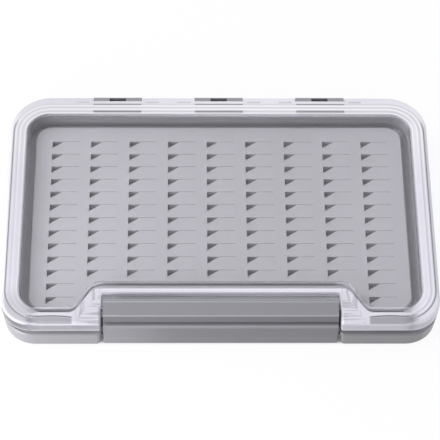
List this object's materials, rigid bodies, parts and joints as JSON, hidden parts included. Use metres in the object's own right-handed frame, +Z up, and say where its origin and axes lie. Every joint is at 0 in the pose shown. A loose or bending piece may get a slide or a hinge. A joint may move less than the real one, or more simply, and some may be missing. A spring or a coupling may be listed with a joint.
{
  "type": "fly box",
  "caption": "Slim rectangular fly box: grey tray with a slit silicone mat, a clear hinged lid with a raised rim, and a wide flip-down front latch.",
  "frame": {"origin": "middle of the whole box's underside, in the plane that it rests on", "axes": "+X along the box's length to the right as seen from the latch side, +Y from the latch to the hinges, +Z up"},
  "size_m": [0.186, 0.1237, 0.0168],
  "materials": {
    "tray_plastic": "moulded grey plastic, satin gloss",
    "clear_plastic": "clear polished moulding",
    "latch_plastic": "moulded grey plastic, satin gloss",
    "gasket_silicone": "translucent white silicone",
    "mat_silicone": "matte light grey silicone",
    "pin_steel": "drawn steel wire"
  },
  "bodies": {
    "base": {"base_tray": "tray_plastic", "rim_gasket": "gasket_silicone", "slit_mat": "mat_silicone", "hinge_pin_left": "pin_steel", "hinge_pin_middle": "pin_steel", "hinge_pin_right": "pin_steel", "latch_pin_left": "pin_steel", "latch_pin_right": "pin_steel"},
    "lid": {"lid": "clear_plastic"},
    "latch": {"latch": "latch_plastic"}
  },
  "joints": [
    {"name": "lid_hinge", "type": "hinge", "parent": "base", "child": "lid", "pos_m": [0, 0.05995, 0.0124], "axis": [-1, 0, 0], "range_deg": [0, 180]},
    {"name": "latch_hinge", "type": "hinge", "parent": "base", "child": "latch", "pos_m": [0, -0.05855, 0.0046], "axis": [1, 0, 0], "range_deg": [0, 95]}
  ]
}
